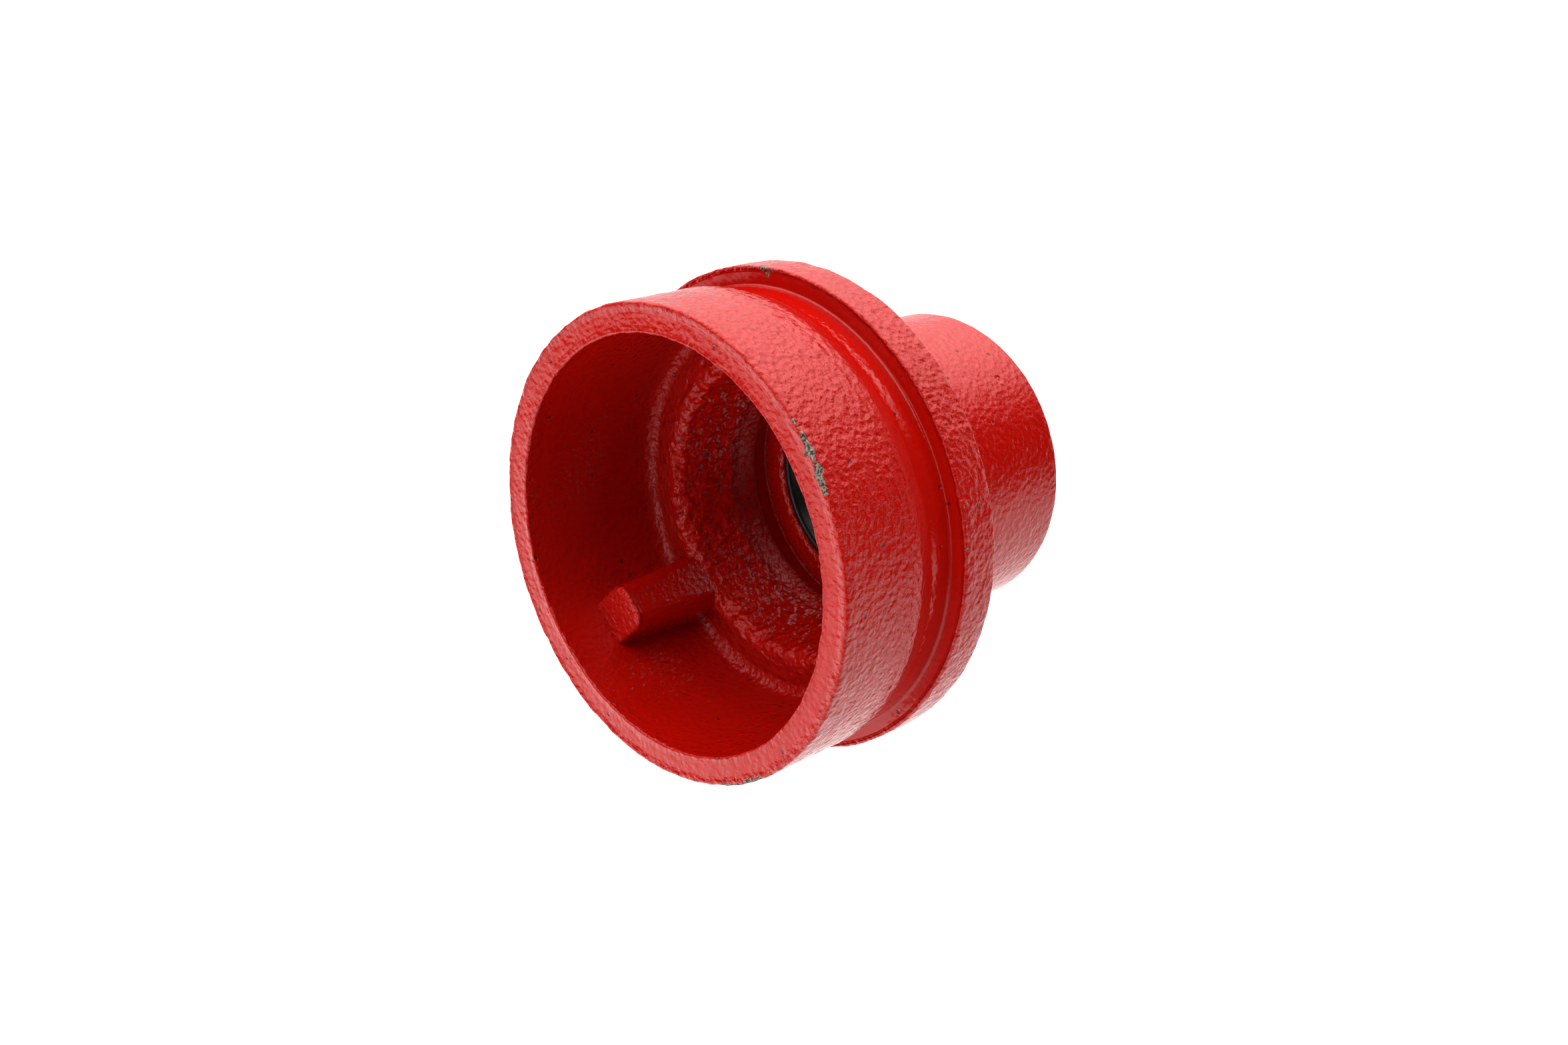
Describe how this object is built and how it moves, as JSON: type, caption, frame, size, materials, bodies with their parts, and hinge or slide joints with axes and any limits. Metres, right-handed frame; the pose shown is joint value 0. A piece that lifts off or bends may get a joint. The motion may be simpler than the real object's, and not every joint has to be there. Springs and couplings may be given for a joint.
{
  "type": "grooved reducing pipe fitting",
  "caption": "Red painted cast fitting: a grooved pipe end with a flange behind its groove and a deep bowl inside, stepping down to a short neck with a female pipe thread and a rubber seal.",
  "frame": {"origin": "centre of the neck's end face, which the fitting stands on", "axes": "+Z along the bore, from the neck's end up to the grooved mouth; +Y from the axis towards the stop lug"},
  "size_m": [0.08, 0.08, 0.067],
  "materials": {
    "red_paint": "glossy red paint over rough sand-cast iron, chipped to bare iron at the edges",
    "black_rubber": "satin moulded black rubber"
  },
  "bodies": {
    "root": {"body_casting": "red_paint", "neck_seal": "black_rubber"}
  },
  "joints": []
}
